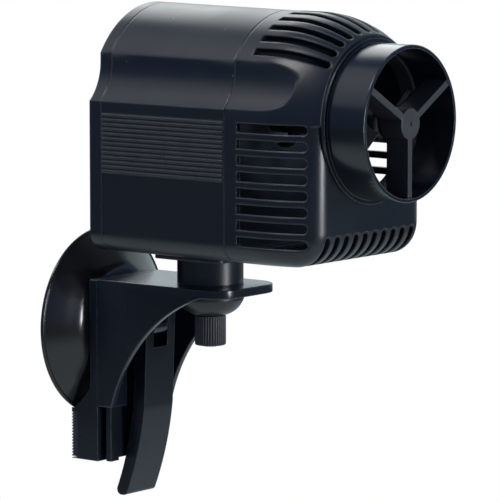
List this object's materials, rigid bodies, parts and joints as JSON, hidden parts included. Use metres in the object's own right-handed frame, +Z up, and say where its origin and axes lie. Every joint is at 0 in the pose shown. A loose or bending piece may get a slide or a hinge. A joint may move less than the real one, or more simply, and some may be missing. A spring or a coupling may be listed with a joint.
{
  "type": "wave maker pump",
  "caption": "Submersible wave maker pump with slotted intake housing, guarded round outlet nozzle, swivel bracket and lever-locked suction cup mount.",
  "frame": {"origin": "centre of the suction cup's rim, in the plane of the glass it is stuck to", "axes": "+Z up, +Y into the glass, -Y the way the water leaves the nozzle, X across the width"},
  "size_m": [0.0734, 0.141, 0.183],
  "materials": {
    "black_plastic": "semi-gloss moulded",
    "black_rubber": "glossy moulded",
    "gland_rubber": "matt moulded",
    "stud_steel": "stainless",
    "pin_steel": "stainless",
    "shaft_ceramic": "polished ceramic",
    "bush_rubber": "matt",
    "washer_ceramic": "polished ceramic",
    "magnet_ferrite": "ground ferrite",
    "core_steel": "stacked laminations",
    "winding_copper": "enamelled copper",
    "potting_resin": "cast resin",
    "bobbin_plastic": "moulded",
    "impeller_plastic": "moulded",
    "stem_plastic": "moulded"
  },
  "bodies": {
    "mount_base": {"suction_cup": "black_rubber", "toothed_rail": "black_plastic"},
    "stem": {"cup_stem": "stem_plastic", "pivot_pin": "pin_steel"},
    "lock_lever": {"lever": "black_plastic"},
    "bracket": {"support_bracket": "black_plastic"},
    "pump": {"swivel_foot": "black_plastic", "clamp_stud": "stud_steel", "motor_housing": "black_plastic", "rear_cover": "black_plastic", "cable_gland": "gland_rubber", "front_cover": "black_plastic", "outlet_nozzle": "black_plastic", "rotor_shaft": "shaft_ceramic", "rear_bush": "bush_rubber", "front_bush": "bush_rubber", "stator_core": "core_steel", "bobbin_right": "bobbin_plastic", "bobbin_left": "bobbin_plastic", "winding_right": "winding_copper", "winding_left": "winding_copper", "potting_block": "potting_resin"},
    "clamp_washer": {"bowl_washer": "black_plastic"},
    "clamp_nut": {"knurled_nut": "black_plastic"},
    "rotor": {"magnet_rotor": "magnet_ferrite", "impeller": "impeller_plastic", "thrust_washer": "washer_ceramic"}
  },
  "joints": [
    {"name": "stem_slide", "type": "slide", "parent": "mount_base", "child": "stem", "axis": [0, 1, 0], "range_m": [0, 0.0022], "deforming": ["suction_cup"]},
    {"name": "lever_flip", "type": "hinge", "parent": "stem", "child": "lock_lever", "pos_m": [0, -0.0246, 0], "axis": [-1, 0, 0], "range_deg": [0, 65]},
    {"name": "bracket_lift", "type": "slide", "parent": "mount_base", "child": "bracket", "axis": [0, 0, 1], "range_m": [0, 0.046]},
    {"name": "pump_swivel", "type": "hinge", "parent": "bracket", "child": "pump", "pos_m": [0, -0.0515, 0.018], "axis": [0, 0, 1], "range_deg": [-90, 90]},
    {"name": "washer_slide", "type": "slide", "parent": "pump", "child": "clamp_washer", "axis": [0, 0, -1], "range_m": [0, 0.002]},
    {"name": "nut_turn", "type": "hinge", "parent": "clamp_washer", "child": "clamp_nut", "pos_m": [0, -0.0515, 0.002], "axis": [0, 0, -1], "range_deg": [0, 721]},
    {"name": "rotor_spin", "type": "hinge", "parent": "pump", "child": "rotor", "pos_m": [0, -0.1, 0.081], "axis": [0, -1, 0], "continuous": true}
  ],
  "couplings": [
    {"joint": "stem_slide", "follows": "lever_flip", "m_per_rad": 0.0019392},
    {"joint": "nut_turn", "follows": "washer_slide", "rad_per_m": 6283.2}
  ]
}
